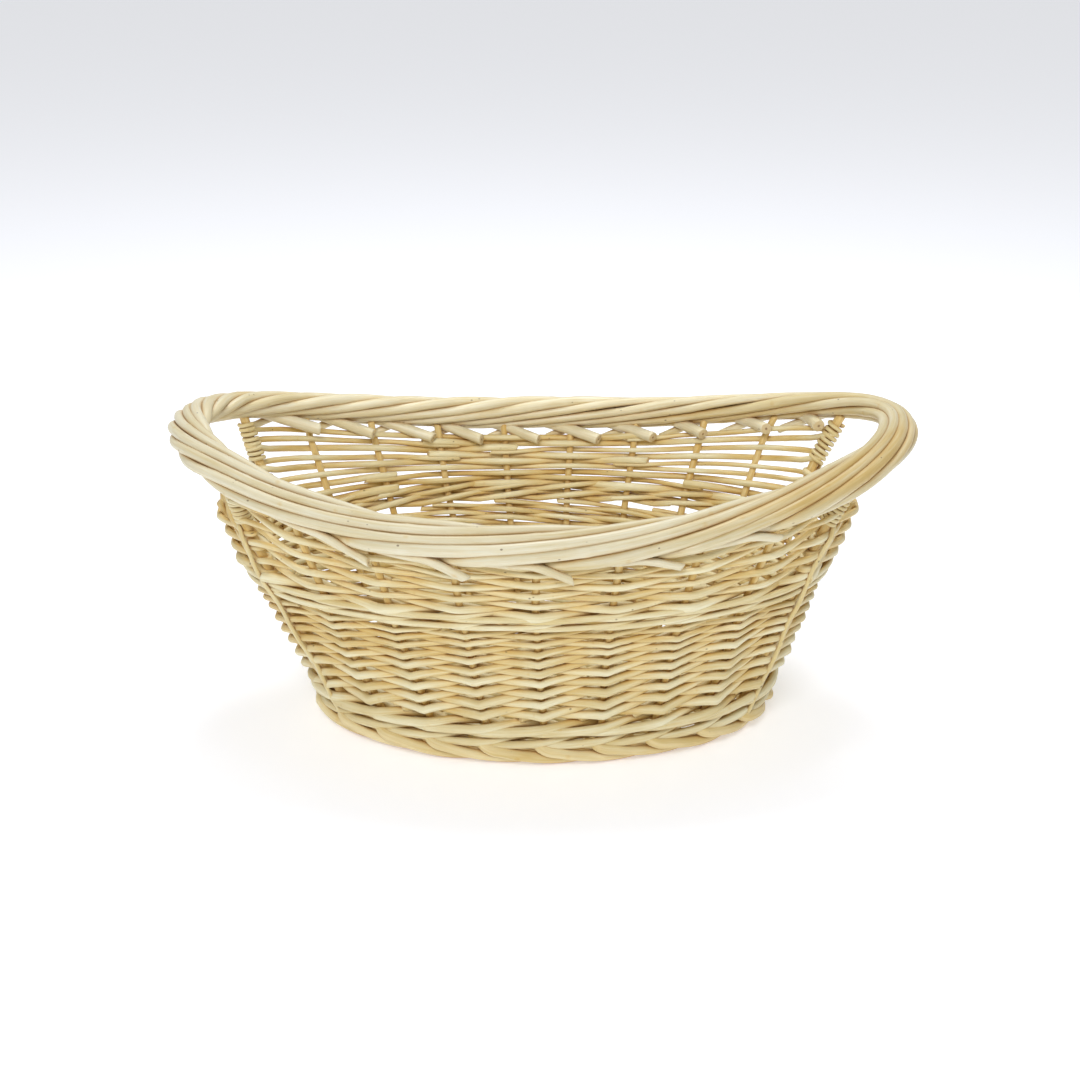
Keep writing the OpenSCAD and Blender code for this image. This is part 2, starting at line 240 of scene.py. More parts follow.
def sway(z):
    """How far the wall stands to the left of its true place at height z, mostly under the rim."""
    return SWAY * smooth(z, SWAY_STARTS, SWAY_FULL) * (1 - smooth(z, SWAY_FADES, SWAY_ENDS))


def wall_point(n, z, d, level=False):
    """Point at place n and height z, moved by d along the wall's outward normal, or along its
    level outward direction."""
    t = angle(n)
    z = np.broadcast_to(z, t.shape)
    a = wall_a(z)
    middle = np.stack([a * np.cos(t) - sway(z), a * OVAL_RATIO * np.sin(t), z], -1)
    out = out_dir(t)
    if not level:
        slope = FLARE * (np.cos(t) * out[..., 0] + OVAL_RATIO * np.sin(t) * out[..., 1])
        out = (out - slope[..., None] * np.array([0.0, 0.0, 1.0])) / np.sqrt(1 + slope**2)[..., None]
    return middle + out * np.broadcast_to(d, t.shape)[..., None]


def rim_height(t):
    return RIM_MID_H + END_RISE * np.abs(np.cos(t)) ** RISE_POWER


def lean(t):
    """How far the bundle leans out at angle t."""
    return LEAN_MID + (LEAN_END - LEAN_MID) * np.cos(t) ** 2


def rim_underside(n):
    t = angle(n)
    half = np.hypot(BUNDLE_LONG * np.sin(lean(t)), BUNDLE_SHORT * np.cos(lean(t)))
    return rim_height(t) - half


def rim_axes(n):
    """Centre of the rim bundle at place n, and the long and short directions of its section."""
    t = angle(n)
    centre = wall_point(n, rim_height(t), 0, level=True)
    up = np.array([0.0, 0.0, 1.0])
    s, c = np.sin(lean(t))[..., None], np.cos(lean(t))[..., None]
    return centre, s * up - c * out_dir(t), c * up + s * out_dir(t)


TWIST_PARTS = 100


def twist_table():
    """Turn of the rim's rope, in degrees, added up along one circuit from the first post."""
    n = FIRST_POST + (np.arange(STAKES * TWIST_PARTS) + 0.5) / TWIST_PARTS
    rate = TWIST["back"]
    changes = (
        (POSTS["back_left"], "back", "left"),
        (POSTS["front_left"], "left", "front"),
        (POSTS["front_right"], "front", "right"),
        (FIRST_POST + STAKES, "right", "back"),
    )
    for place, before, after in changes:
        change = TWIST[after] - TWIST[before]
        rate = rate + change * smooth(n, place - TWIST_BLEND, place + TWIST_BLEND)
    total = np.concatenate([[0], np.cumsum(rate)])
    return total * RIM_TURNS * 360 / total[-1]


TWIST_TABLE = twist_table()
TABLE_PLACES = np.arange(STAKES * TWIST_PARTS + 1) / TWIST_PARTS


def twist(n):
    """Turn of the rope at place n, for any number of circuits."""
    n = np.asarray(n, float) - FIRST_POST
    laps = np.floor(n / STAKES)
    return laps * TWIST_TABLE[-1] + np.interp(n - laps * STAKES, TABLE_PLACES, TWIST_TABLE)


def place_of_twist(turn):
    """The place at which the rope has turned so far."""
    laps = math.floor(turn / TWIST_TABLE[-1])
    place = float(np.interp(turn - laps * TWIST_TABLE[-1], TWIST_TABLE, TABLE_PLACES))
    return FIRST_POST + laps * STAKES + place


def places(start, end, step):
    """Places from start to end, about step metres apart along the wall."""
    circuit = 2 * np.pi * wall_a(LOWER_TOP) * math.sqrt((1 + OVAL_RATIO**2) / 2)
    count = max(4, round(abs(end - start) * circuit / STAKES / step))
    return np.linspace(start, end, count + 1)


# --- Rod meshes ---

RING_STEP = 1.7 * MM

# A cut end: the edge is smaller than the rod by CAP_SHRINK and the face stands CAP_BEVEL past it.
# The rings slant towards it over CUT_REACH radii.
CAP_BEVEL = 0.25 * MM
CAP_SHRINK = 0.16
CUT_REACH = 3.2

# Shares of the radius by which a rod varies along its length, is oval, and swells at a leaf scar.
UNEVEN = 0.04
UNEVEN_STEP = 22 * MM
OVALNESS = 0.05
KNOT_SWELL = 0.09

# Leaf scars: millimetres to the first one and from one to the next, the turn between them with
# its spread, and how long (in radii) and wide (in radians) a scar is.
KNOT_FIRST = (10, 60)
KNOT_APART = (28, 70)
KNOT_TURN, KNOT_TURN_SPREAD = 2.4, 0.4
KNOT_LENGTH, KNOT_WIDTH = 0.9, 0.8

# Each rod takes its grain from a place of its own in the pattern, up to this far along.
GRAIN_SPREAD = 40


def even_steps(path, step):
    """The same line with its points step apart, and the length along it at each."""
    lengths = np.concatenate([[0], np.cumsum(np.linalg.norm(np.diff(path, axis=0), axis=1))])
    count = max(3, round(lengths[-1] / step))
    s = np.linspace(0, lengths[-1], count + 1)
    return np.stack([np.interp(s, lengths, path[:, i]) for i in range(3)], -1), s


def ring_axes(path):
    """The direction of the line at each point, and two across it that don't twist along it."""
    along = np.gradient(path, axis=0)
    along /= np.linalg.norm(along, axis=1, keepdims=True)
    side = np.empty_like(path)
    first = np.cross(along[0], [0, 0, 1] if abs(along[0, 2]) < 0.9 else [1, 0, 0])
    side[0] = first / np.linalg.norm(first)
    for i in range(1, len(path)):
        v = side[i - 1] - along[i] * np.dot(side[i - 1], along[i])
        side[i] = v / np.linalg.norm(v)
    return along, side, np.cross(along, side)


def knot_bumps(rng, s, theta, radius):
    """Swelling of the surface at leaf scars, from 0 to 1."""
    bump = np.zeros((len(s), len(theta)))
    place = rng.uniform(*KNOT_FIRST) * MM
    turn = rng.uniform(0, 2 * math.pi)
    while place < s[-1]:
        ds = (s[:, None] - place) / (KNOT_LENGTH * radius)
        dt = np.abs((theta[None, :] - turn + np.pi) % (2 * np.pi) - np.pi) / KNOT_WIDTH
        bump = np.maximum(bump, np.exp(-(ds**2) - dt**2))
        place += rng.uniform(*KNOT_APART) * MM
        turn += KNOT_TURN + rng.uniform(-KNOT_TURN_SPREAD, KNOT_TURN_SPREAD)
    return bump


def tube_mesh(name, verts, tips):
    """Closed mesh over the rings in verts, with a fan of triangles round a tip at each end. The two
    tips are its last vertices."""
    rings, sides = verts.shape[:2]
    i = np.arange(rings - 1)[:, None] * sides
    j = np.arange(sides)[None, :]
    k = (j + 1) % sides
    quads = np.stack([i + j, i + k, i + sides + k, i + sides + j], -1).reshape(-1, 4)
    edge = np.arange(sides)
    following = (edge + 1) % sides
    last_ring = (rings - 1) * sides
    first_cap = np.stack([np.full(sides, rings * sides), following, edge], -1)
    last_cap = np.stack([np.full(sides, rings * sides + 1), last_ring + edge, last_ring + following], -1)
    all_verts = np.concatenate([verts.reshape(-1, 3), np.array(tips)])

    mesh = bpy.data.meshes.new(name)
    mesh.vertices.add(len(all_verts))
    mesh.vertices.foreach_set("co", all_verts.astype(np.float32).ravel())
    corners = np.concatenate([quads.ravel(), first_cap.ravel(), last_cap.ravel()])
    sizes = np.concatenate([np.full(len(quads), 4), np.full(2 * sides, 3)])
    mesh.loops.add(len(corners))
    mesh.loops.foreach_set("vertex_index", corners.astype(np.int32))
    mesh.polygons.add(len(sizes))
    starts = np.concatenate([[0], np.cumsum(sizes)[:-1]])
    mesh.polygons.foreach_set("loop_start", starts.astype(np.int32))
    mesh.polygons.foreach_set("loop_total", sizes.astype(np.int32))
    mesh.update(calc_edges=True)
    mesh.polygons.foreach_set("use_smooth", np.ones(len(sizes), bool))
    return mesh


def grain_coordinates(at, theta, radius, seed):
    """Place of each vertex in the grain: round the rod in x and y, and along it in z."""
    shape = (len(at), len(theta))
    rings = np.stack(
        [
            np.broadcast_to(np.cos(theta) * radius, shape) + seed,
            np.broadcast_to(np.sin(theta) * radius, shape),
            np.broadcast_to(at[:, None], shape),
        ],
        -1,
    )
    return np.concatenate([rings.reshape(-1, 3), [[seed, 0, 0], [seed, 0, at[-1]]]])


def store(mesh, key, values, kind="FLOAT", field="value"):
    """Keep values, one for each vertex, where the material can read them."""
    data = mesh.attributes.new(key, kind, "POINT").data
    data.foreach_set(field, values.astype(np.float32).ravel())


def rod(name, rng, path, radii, tone, sides=10, cuts=(35, 35), painted_shade=None):
    """A closed tube of willow along path. radii has one value for each point of path, cuts gives
    the slant in degrees of each cut end, and painted_shade gives how deep in the weave each point
    lies, which the material darkens as painted shade."""
    fine, s = even_steps(path, RING_STEP)
    old = np.concatenate([[0], np.cumsum(np.linalg.norm(np.diff(path, axis=0), axis=1))])
    r = np.interp(s, old, radii)
    r = r * (1 + wander(rng, s, UNEVEN_STEP, UNEVEN))
    along, side, across = ring_axes(fine)

    # One more ring at each end makes the edge of the cut.
    at = np.concatenate([[0], s, [s[-1]]])
    pick = np.concatenate([[0], np.arange(len(s)), [len(s) - 1]])
    bevel = np.zeros(len(pick))
    bevel[[0, -1]] = 1
    theta = np.arange(sides) * 2 * np.pi / sides
    oval = rng.uniform(-OVALNESS, OVALNESS)
    squash = 1 + oval * np.cos(2 * theta + rng.uniform(0, 6))
    bump = knot_bumps(rng, at, theta, r.mean())
    ring_r = (r[pick] * (1 - CAP_SHRINK * bevel))[:, None] * squash[None, :] * (1 + KNOT_SWELL * bump)
    offset = (
        side[pick][:, None, :] * (np.cos(theta)[None, :] * ring_r)[..., None]
        + across[pick][:, None, :] * (np.sin(theta)[None, :] * ring_r)[..., None]
    )
    verts = fine[pick][:, None, :] + offset

    # Slant the rings near each end, so that the cut is oblique.
    tips = []
    for end, outward, cut in ((0, -1, cuts[0]), (-1, 1, cuts[1])):
        turn = rng.uniform(0, 2 * math.pi)
        lean_way = math.cos(turn) * side[end] + math.sin(turn) * across[end]
        fade = np.clip(1 - np.abs(at - at[end]) / (CUT_REACH * r[end]), 0, 1)
        shift = fade[:, None] * (offset @ lean_way) * math.tan(math.radians(cut))
        shift[end] += CAP_BEVEL * outward
        verts = verts + shift[..., None] * along[end]
        tips.append(verts[end].mean(0))

    mesh = tube_mesh(name, verts, tips)
    points = len(mesh.vertices)
    store(mesh, "grain", grain_coordinates(at, theta, r.mean(), rng.uniform(0, GRAIN_SPREAD)),
          "FLOAT_VECTOR", "vector")
    # Painted shade: how deep each point lies in the weave, which the material darkens.
    shade_depth = np.zeros(points)
    if painted_shade is not None:
        shade_depth[:-2] = painted_shade(np.interp(at, s, np.linspace(0, 1, len(s))), verts).ravel()
    cut_mark = np.zeros(points)
    cut_mark[:sides] = 1
    cut_mark[-sides - 2 :] = 1
    pith = np.zeros(points)
    pith[-2:] = 1
    store(mesh, "shade_depth", shade_depth)
    store(mesh, "cut", cut_mark)
    store(mesh, "pith", pith)
    store(mesh, "knot", np.concatenate([bump.ravel(), [0, 0]]))
    store(mesh, "tone", np.full(points, tone))
    obj = bpy.data.objects.new(name, mesh)
    bpy.context.scene.collection.objects.link(obj)
    return obj


def finish_piece(obj, slot, *nodes):
    obj.data.materials.append(MATERIALS[slot])
    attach(obj, "root")
    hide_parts(*nodes)
    return obj


# --- Willow material ---

# Painted shade in the lines where rods touch: brown multiplied over the rod's own colour, and how
# near the other rod has to be.
CREVICE_SHADE = (0.60, 0.33, 0.09)
CREVICE_SHADE_REACH = 4 * MM

SPECK = (0.12, 0.06, 0.02)
CUT_WOOD = (0.60, 0.43, 0.20)
PITH = (0.20, 0.10, 0.04)

# Scale of each pattern across the rod, in repeats a metre, and the part of it that is used along
# the rod, which draws the pattern out.
FIBRE_SCALE, FIBRE_STRETCH = 1500, 0.05
STREAK_SCALE, STREAK_STRETCH = 420, 0.04
PATCH_SCALE = 28
SPECK_SCALE, SPECK_STRETCH = 260, 0.6
SPECK_PATCH_SCALE = 75
BUMP_HEIGHT = 0.25 * MM


def willow(name, pale, gold, grain_and_shade, roughness, shaded_crease=0.70):
    """Peeled willow. pale and gold are the ends of its colour range. grain_and_shade browns its grain
    and leaf scars and is the painted shade where the weave is deep. shaded_crease is how open a
    place between two rods may be and still get painted shade."""
    mat = bpy.data.materials.new(name)
    mat.use_nodes = True
    tree = mat.node_tree
    nodes, links = tree.nodes, tree.links
    bsdf = nodes["Principled BSDF"]

    def attribute(key, output="Fac"):
        node = nodes.new("ShaderNodeAttribute")
        node.attribute_name = key
        return node.outputs[output]

    def math_node(kind, a, b):
        node = nodes.new("ShaderNodeMath")
        node.operation = kind
        for socket, value in zip(node.inputs, (a, b)):
            if isinstance(value, (int, float)):
                socket.default_value = value
            else:
                links.new(value, socket)
        return node.outputs[0]

    def stretched(across, along):
        node = nodes.new("ShaderNodeMapping")
        links.new(attribute("grain", "Vector"), node.inputs["Vector"])
        node.inputs["Scale"].default_value = (across, across, along)
        return node.outputs[0]

    def noise(vector, scale, detail, rough=0.55):
        node = nodes.new("ShaderNodeTexNoise")
        links.new(vector, node.inputs["Vector"])
        node.inputs["Scale"].default_value = scale
        node.inputs["Detail"].default_value = detail
        node.inputs["Roughness"].default_value = rough
        return node.outputs["Fac"]

    def remap(value, low, high, to_low=0.0, to_high=1.0):
        node = nodes.new("ShaderNodeMapRange")
        links.new(value, node.inputs["Value"])
        node.inputs["From Min"].default_value = low
        node.inputs["From Max"].default_value = high
        node.inputs["To Min"].default_value = to_low
        node.inputs["To Max"].default_value = to_high
        return node.outputs[0]

    def mix(factor, a, b, kind="MIX"):
        node = nodes.new("ShaderNodeMix")
        node.data_type = "RGBA"
        node.blend_type = kind
        for socket, value in ((node.inputs[0], factor), (node.inputs[6], a), (node.inputs[7], b)):
            if isinstance(value, (int, float)):
                socket.default_value = value
            elif isinstance(value, tuple):
                socket.default_value = (*value, 1)
            else:
                links.new(value, socket)
        return node.outputs[2]

    fibre = noise(stretched(1, FIBRE_STRETCH), FIBRE_SCALE, 3)
    streak = noise(stretched(1, STREAK_STRETCH), STREAK_SCALE, 3)
    patch = noise(stretched(1, 1), PATCH_SCALE, 2)

    # Colour of the rod: its own tone, then long soft patches and fine streaks.
    blend = math_node("ADD", attribute("tone"), remap(patch, 0.3, 0.7, -0.28, 0.28))
    blend = math_node("ADD", blend, remap(streak, 0.3, 0.7, -0.42, 0.42))
    clamp = nodes.new("ShaderNodeClamp")
    links.new(blend, clamp.inputs["Value"])
    colour = mix(clamp.outputs[0], pale, gold)
    colour = mix(remap(fibre, 0.35, 0.75, 0, 0.35), colour, grain_and_shade, "MULTIPLY")

    # Painted shade: golden brown where the weave is deep, broken up by the grain, and brown where rods
    # touch.
    deep = math_node("MULTIPLY", attribute("shade_depth"), remap(streak, 0.25, 0.7, 0.3, 0.75))
    colour = mix(deep, colour, grain_and_shade, "MULTIPLY")
    # Painted shade: the occlusion finds where another rod is near, and that crease is browned.
    shade_occlusion = nodes.new("ShaderNodeAmbientOcclusion")
    shade_occlusion.samples = 6
    shade_occlusion.inputs["Distance"].default_value = CREVICE_SHADE_REACH
    closed = remap(shade_occlusion.outputs["AO"], 0.12, shaded_crease, 1, 0)
    crevice_shade_mask = math_node("MULTIPLY", closed, remap(patch, 0.3, 0.7, 0.7, 1.0))
    colour = mix(crevice_shade_mask, colour, CREVICE_SHADE, "MULTIPLY")

    # Leaf scars and dark specks.
    colour = mix(remap(attribute("knot"), 0.55, 1.0, 0, 0.45), colour, grain_and_shade, "MULTIPLY")
    dots = nodes.new("ShaderNodeTexVoronoi")
    links.new(stretched(1, SPECK_STRETCH), dots.inputs["Vector"])
    dots.inputs["Scale"].default_value = SPECK_SCALE
    near = remap(dots.outputs["Distance"], 0.10, 0.16, 1, 0)
    few = remap(noise(stretched(1, 1), SPECK_PATCH_SCALE, 1), 0.60, 0.66, 0, 1)
    speck = math_node("MULTIPLY", math_node("MULTIPLY", near, few), 0.75)
    colour = mix(speck, colour, SPECK)

    # Cut ends: paler rough wood round a small dark pith.
    colour = mix(remap(attribute("cut"), 0.4, 1.0, 0, 0.55), colour, CUT_WOOD)
    colour = mix(remap(attribute("pith"), 0.66, 0.86, 0, 0.85), colour, PITH)
    links.new(colour, bsdf.inputs["Base Color"])

    rough = remap(streak, 0.3, 0.7, roughness - 0.07, roughness + 0.09)
    links.new(rough, bsdf.inputs["Roughness"])
    bsdf.inputs["Specular IOR Level"].default_value = 0.42
    bsdf.inputs["Sheen Weight"].default_value = 0.06
    bsdf.inputs["Sheen Roughness"].default_value = 0.4

    bump = nodes.new("ShaderNodeBump")
    bump.inputs["Strength"].default_value = 0.35
    bump.inputs["Distance"].default_value = BUMP_HEIGHT
    fine_grain = math_node("MULTIPLY", fibre, 0.45)
    height = math_node("ADD", fine_grain, math_node("MULTIPLY", streak, 0.75))
    links.new(height, bump.inputs["Height"])
    links.new(bump.outputs["Normal"], bsdf.inputs["Normal"])
    return mat


PALE = (0.84, 0.795, 0.56)
GOLD = (0.70, 0.585, 0.30)
GRAIN_AND_PAINTED_SHADE = (0.91, 0.70, 0.31)
FOOT_PALE, FOOT_GOLD = (0.84, 0.73, 0.44), (0.68, 0.53, 0.23)
STAKE_PALE, STAKE_GOLD = (0.80, 0.70, 0.42), (0.68, 0.55, 0.26)
RIM_PALE, RIM_GOLD = (0.785, 0.74, 0.56), (0.66, 0.57, 0.33)
MATERIALS = {
    "base_sticks": willow("willow_base_sticks", PALE, GOLD, GRAIN_AND_PAINTED_SHADE, 0.55),
    "base_weave": willow("willow_base_weave", PALE, GOLD, GRAIN_AND_PAINTED_SHADE, 0.55),
    "foot_rods": willow("willow_foot_rods", FOOT_PALE, FOOT_GOLD, GRAIN_AND_PAINTED_SHADE, 0.5),
    "stakes": willow("willow_stakes", STAKE_PALE, STAKE_GOLD, GRAIN_AND_PAINTED_SHADE, 0.52),
    "weavers": willow("willow_weavers", PALE, GOLD, GRAIN_AND_PAINTED_SHADE, 0.52),
    "wales": willow("willow_wales", PALE, GOLD, GRAIN_AND_PAINTED_SHADE, 0.5),
    "rim_rods": willow("willow_rim_rods", RIM_PALE, RIM_GOLD, GRAIN_AND_PAINTED_SHADE, 0.42, shaded_crease=0.86),
}


# --- Woven wall ---


def wall_painted_shade(n, half_thickness):
    """Painted shade for a rod in the wall: deepest at the middle of the wall's thickness."""
    n = np.asarray(n)

    def painted_shade(share, verts):
        t = angle(np.interp(share, np.linspace(0, 1, len(n)), n))[:, None]
        a = wall_a(verts[..., 2])
        middle = np.stack([a * np.cos(t) - sway(verts[..., 2]), a * OVAL_RATIO * np.sin(t)], -1)
        gap = verts[..., :2] - middle
        away = np.abs(np.sum(gap * out_dir(t)[..., :2], -1))
        return 1 - smooth(away / half_thickness, 0.15, 0.95)

    return painted_shade


# How far rods press into each other where they cross.
SQUEEZE = 0.1 * MM
WALE_SQUEEZE = 0.3 * MM
PANEL_SQUEEZE = 0.2 * MM


def lower_siding(rng):
    """French randing: one weaver starts at each stake. All climb to the right together, in front
    of one stake and behind the next, and thin out towards their tips."""
    butt_r, middle_r, tip_r = 2.55 * MM, 1.95 * MM, 1.3 * MM
    levels, middle_share = 18.4, 0.55
    butt_overhang, longest_cut = 0.42, 1.2
    fullness, stroke_tilt = 1.22, 0.35
    bottom = UPSETT_TOP + 1.2 * MM
    level = np.linspace(-0.6, levels, 200)
    thick = np.interp(level, [0, levels * middle_share, levels], [butt_r, middle_r, tip_r])
    rise = np.concatenate([[0], np.cumsum(np.diff(level) * 2 * (thick[1:] + thick[:-1]) / 2)])
    rise *= (LOWER_TOP - bottom - 2 * tip_r) / (rise[-1] - np.interp(0, level, rise))
    rise += bottom + butt_r * 0.6 - np.interp(0, level, rise)
    for k in range(STAKES):
        m = places(-butt_overhang, levels - rng.uniform(0, longest_cut), RING_STEP)
        n = k + m
        r = np.interp(m, level, thick) * rng.uniform(0.88, 1.1) * fullness
        swing = STAKE_R + r - SQUEEZE + wander(rng, m, 1.0, 0.45 * MM)
        wave = pinched(m)
        z = np.interp(m, level, rise) + stroke_tilt * r * wave + wander(rng, m, 0.8, 0.75 * MM)
        obj = rod(f"lower_weaver_{k + 1:02d}", rng, wall_point(n, z, -swing * wave), r,
                  rng.uniform(0.05, 0.85), cuts=(40, 20), painted_shade=wall_painted_shade(n, WALL_T / 2 - 0.5 * MM))
        finish_piece(obj, "weavers", "lower_siding")


# One stroke of a wale over three stake spaces: its swing out of the wall at each place, and its
# height as a share of the climb. It is outside from 0 to 1 and inside at 2.
WALE_PLACES = [0, 0.5, 1, 1.5, 2, 2.5, 3]
WALE_SWING = [1, 1.12, 1, 0, -1, 0, 1]
WALE_LIFT_PLACES = [0, 1.5, 2.5, 3]
WALE_LIFT = [-0.17, 0.5, -0.5, -0.17]


def wale(rng, name, nodes, low, high, r, climb):
    """Waling: two rounds of three rods, each in front of two stakes and behind the third. A stroke
    climbs over its neighbours outside and drops behind them inside. nodes has each round's node."""
    first_place, round_shift, overlap, taper = 2.2, 8, 2.5, 0.18
    swing = STAKE_R + r - WALE_SQUEEZE
    for lap, node in enumerate(nodes):
        middle = low + (high - low) * (lap + 0.5) / len(nodes)
        for strand in range(3):
            start = strand + first_place + lap * round_shift
            whole_strokes = STAKES + (strand - STAKES) % 3
            n = places(start, whole_strokes + overlap + lap * round_shift, RING_STEP)
            x = n - strand
            push = curve_through(x % 3, WALE_PLACES, WALE_SWING)
            lift = np.interp(x % 3, WALE_LIFT_PLACES, WALE_LIFT)
            size = rng.uniform(0.94, 1.07)
            thick = r * size * (1 - taper * (n - start) / STAKES)
            z = middle + climb * lift + wander(rng, n, 0.9, 0.4 * MM)
            d = swing * push + wander(rng, n, 1.0, 0.3 * MM)
            obj = rod(f"{name}_{lap + 1}_{strand + 1}", rng, wall_point(n, z, d), thick,
                      rng.uniform(0.15, 0.8), cuts=(45, 45), painted_shade=wall_painted_shade(n, WALL_T / 2))
            finish_piece(obj, "wales", node)


def serpentine(span, rows, half_turn=0.13):
    """Corner points of a weaver that goes back and forth between two posts. u counts the stake
    spaces it has passed. Gives tables of place and side against u: the place counts from the first
    post, and the side is 1 outside and -1 inside. It turns round a post from side to side, from
    half_turn before it to half_turn past it."""
    u_place, place, u_side, side = [], [], [], []
    sign = 1
    for row in range(rows):
        low, high = row * span, (row + 1) * span
        ends = (0, span) if row % 2 == 0 else (span, 0)
        beyond = half_turn if row % 2 == 0 else -half_turn
        u_place += [low + half_turn, high - half_turn, high]
        place += [ends[0], ends[1], ends[1] + beyond]
        for j in range(span + 1):
            shift = half_turn if j == 0 else -half_turn if j == span else 0
            u_side.append(low + j + shift)
            side.append(sign)
            sign = -sign
    return u_place, place, u_side, side


def panel(rng, name, node, first, last, rows, top, row_r, rod_spaces):
    """Plain randing between the posts first and last, back and forth, up to the height top. Each
    rod is about rod_spaces stake spaces long, starts with a cut butt inside a stake and ends as a
    thinner tip inside another, with the next rod laid beside it."""
    corner, level_corner, crossing = 0.05, 0.1, 0.07
    row_change, least_left = 0.3, 3
    first_row, tip_lift, tip_run = 1.3, 1.3 * MM, 0.8
    span = last - first
    total = rows * span
    bottom = MID_TOP - 3.4 * MM
    u_place, place, u_side, side = serpentine(span, rows)
    weight = np.array([rng.uniform(0.8, 1.2) for _ in range(rows)])
    edge = np.concatenate([[0], np.cumsum(weight)]) / weight.sum()
    centre = (edge[1:] + edge[:-1]) / 2
    u_level = [row * span + shift for row in range(1, rows) for shift in (-row_change, row_change)]
    level = [centre[row + shift] for row in range(1, rows) for shift in (-1, 0)]

    def inside_at(u):
        """The nearest stake at or after u that the weaver passes inside, away from the posts."""
        u = math.ceil(u)
        while u < total - 1 and (u % span in (0, 1) or rounded(u, u_side, side, 0.01) > 0):
            u += 1
        return u

    start, count = corner, 0
    while start < total - 1:
        end = inside_at(start + rod_spaces * rng.uniform(0.75, 1.25))
        end = total - corner if total - end < least_left else end
        first_u = start - rng.uniform(0.12, 0.24) if count else start
        last_u = end + rng.uniform(0.12, 0.3) if end < total - 1 else end
        u = places(first_u, last_u, RING_STEP)
        n = first + rounded(u, u_place, place, corner)
        share = rounded(u, u_level, level, level_corner)
        r = row_r * rng.uniform(0.92, 1.1) * np.interp(u, [start, end], [1.12, 0.78])
        r = r * (first_row - (first_row - 1) * smooth(u, span - 0.5, span + 0.5))
        z = bottom + (top(n) - bottom) * share + wander(rng, u, 0.8, 0.5 * MM)
        z += tip_lift * (1 - smooth(u, start, start + tip_run) - smooth(u, end - tip_run, end))
        d = (STAKE_R + r - PANEL_SQUEEZE) * rounded(u, u_side, side, crossing)
        d += wander(rng, u, 1.0, 0.25 * MM)
        count += 1
        obj = rod(f"{name}_{count:02d}", rng, wall_point(n, z, d), r, rng.uniform(0.15, 0.8),
                  cuts=(25, 45), painted_shade=wall_painted_shade(n, WALL_T / 2))
        finish_piece(obj, "weavers", node)
        start = end


def below_rim(n):
    """Top of the weave between the posts, just under the rim."""
    return rim_underside(n) - 2.5 * MM


def hand_hole_edge(n):
    """Top of the weave under a hand-hole."""
    return np.full(np.shape(n), END_TOP)


# How far the stakes reach up into the rim, above the weave at the hand-holes and below the wales.
STAKE_INTO_RIM = 4 * MM
SHORT_STAKE_RISE = 1.5 * MM
STAKE_INTO_FOOT = 1 * MM


def stakes(rng):
    groups = {
        "side_stakes_front": range(POSTS["front_left"] + 1, POSTS["front_right"]),
        "side_stakes_back": range(POSTS["back_right"] + 1, POSTS["back_left"]),
        "end_stakes_left": (POSTS["back_left"] + 1, POSTS["front_left"] - 1),
        "end_stakes_right": (STAKES - 1, 0),
    }
    for node, members in groups.items():
        for k in members:
            short = node.startswith("end")
            top = END_TOP + SHORT_STAKE_RISE if short else rim_underside(k) + STAKE_INTO_RIM
            upright(rng, f"stake_{k:02d}", node, k, STAKE_R, top)
    for name, k in POSTS.items():
        upright(rng, f"post_{name}", f"post_{name}", k, POST_R, rim_underside(k) + STAKE_INTO_RIM)


def upright(rng, name, node, k, r, top):
    """A stake or post at place k, from the foot up to the height top."""
    z = np.linspace(FOOT_TOP - STAKE_INTO_FOOT, float(top), 60)
    n = k + wander(rng, z, 30 * MM, 0.012)
    d = wander(rng, z, 25 * MM, 0.25 * MM)
    obj = rod(name, rng, wall_point(n, z, d), np.full(len(z), r), rng.uniform(0.2, 0.7), sides=12,
              cuts=(20, 20), painted_shade=wall_painted_shade(n, WALL_T))
    finish_piece(obj, "stakes", node)


def post_wraps(rng):
    """A thin rod comes up the outside of the wall beside each post, and its tip is wound round the
    bare part of the post above the weave of the hand-hole."""
    turns, wrap_r = 8, 1.5 * MM
    coil_start, coil_end = END_TOP + 3 * MM, 2 * MM
    tail_start, tail_end = FOOT_TOP + 2 * MM, END_TOP - 4 * MM
    reach = POST_R + wrap_r - SQUEEZE
    for name, k in POSTS.items():
        low = wall_point(k, coil_start, 0)
        high = wall_point(k, float(rim_underside(k)) - coil_end, 0)
        axis = (high - low) / np.linalg.norm(high - low)
        side = np.cross(axis, [0, 1, 0])
        side /= np.linalg.norm(side)
        side *= np.sign(side @ out_dir(angle(k)))
        other = np.cross(side, axis)
        tail_z = np.linspace(tail_start, tail_end, 60)
        tail_d = WALL_T / 2 + 0.3 * MM + wander(rng, tail_z, 14 * MM, 0.9 * MM)
        tail = wall_point(k + wander(rng, tail_z, 24 * MM, 0.05), tail_z, tail_d)
        u = np.linspace(0, 1, 360)
        a = 2 * np.pi * turns * (u + wander(rng, u, 0.2, 0.008))
        circle = np.cos(a)[:, None] * side + np.sin(a)[:, None] * other
        coil = low + (high - low) * u[:, None] + reach * circle
        path = np.concatenate([tail, coil])
        obj = rod(f"post_wrap_{name}", rng, path, np.full(len(path), wrap_r), rng.uniform(0.7, 0.95),
                  sides=8)
        finish_piece(obj, "weavers", f"post_wrap_{name}")


# --- Foot ---


# Line of a foot rod from its stake: stake spaces to the right of it, and millimetres outside the
# middle of the wall and above the floor.
FOOT_LINE = (
    (-0.12, 2.5, 15),
    (-0.06, 5.5, 13.2),
    (0.05, 8.0, 11.6),
    (0.3, 8.8, 10.0),
    (0.65, 8.2, 7.4),
    (1.0, 6.4, 5.2),
    (1.4, 3.8, 3.8),
    (1.8, 0.8, 3.6),
    (2.3, -2.6, 3.6),
    (2.8, -5.5, 4),
    (3.7, -9.5, 6.5),
)


